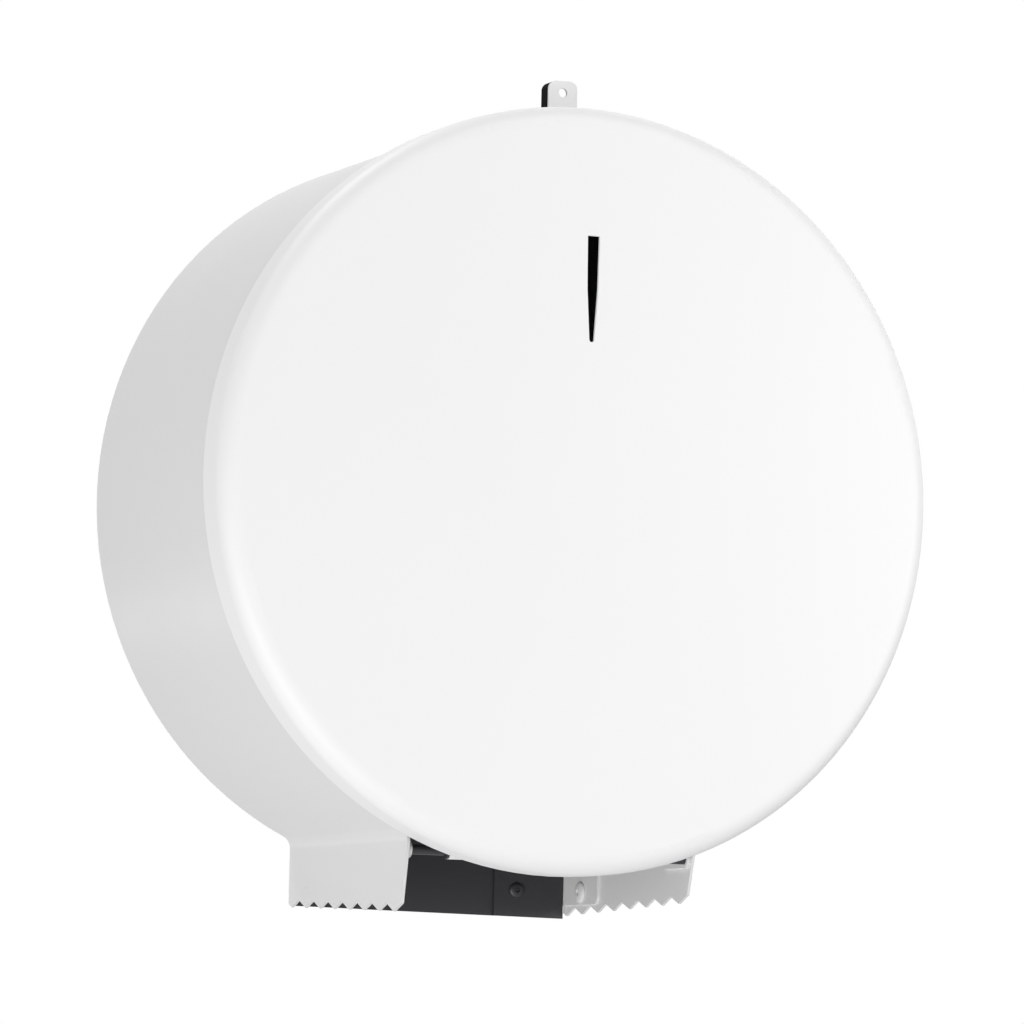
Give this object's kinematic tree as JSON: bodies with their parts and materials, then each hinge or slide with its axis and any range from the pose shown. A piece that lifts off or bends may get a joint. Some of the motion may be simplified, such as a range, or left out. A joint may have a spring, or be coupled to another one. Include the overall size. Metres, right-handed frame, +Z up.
{
  "type": "jumbo toilet roll dispenser",
  "caption": "Round wall-mounted sheet-steel drum that holds one jumbo toilet roll on a turning hub, with a bottom-hinged lid and toothed chute sides.",
  "frame": {"origin": "on the drum's axis at the wall plane, in the middle of the four wall holes", "axes": "+X to the right as seen from the front, +Y into the wall along the drum's axis, +Z up"},
  "size_m": [0.27, 0.135, 0.296],
  "materials": {
    "white_coat": "smooth semi-gloss white coat",
    "black_coat": "satin black coat",
    "bright_steel": "bright zinc-plated steel",
    "hub_plastic": "moulded satin plastic",
    "nylon": "natural nylon"
  },
  "bodies": {
    "case": {"case_band": "white_coat", "back_plate": "black_coat", "chute_angle_left": "white_coat", "chute_angle_right": "white_coat", "side_rivets": "white_coat", "tail_rivets": "black_coat", "hinge_bracket_left": "white_coat", "hinge_bracket_right": "white_coat", "hinge_rod": "black_coat", "rod_clips": "black_coat", "lock_lug": "black_coat", "lug_screw": "bright_steel", "spindle_foot": "bright_steel", "foot_rivets": "bright_steel", "spindle_axle": "bright_steel", "axle_plug": "bright_steel", "thrust_washer": "nylon", "end_washer": "bright_steel", "end_screw": "bright_steel"},
    "lid": {"lid_shell": "white_coat", "hinge_leaf_left": "white_coat", "hinge_leaf_right": "white_coat"},
    "hub": {"roll_hub": "hub_plastic", "rear_bush": "nylon", "front_bush": "nylon"}
  },
  "joints": [
    {"name": "lid_hinge", "type": "hinge", "parent": "case", "child": "lid", "pos_m": [0, -0.1095, -0.127], "axis": [1, 0, 0], "range_deg": [0, 95]},
    {"name": "hub_spin", "type": "hinge", "parent": "case", "child": "hub", "pos_m": [0, 0, 0], "axis": [0, 1, 0], "continuous": true}
  ]
}
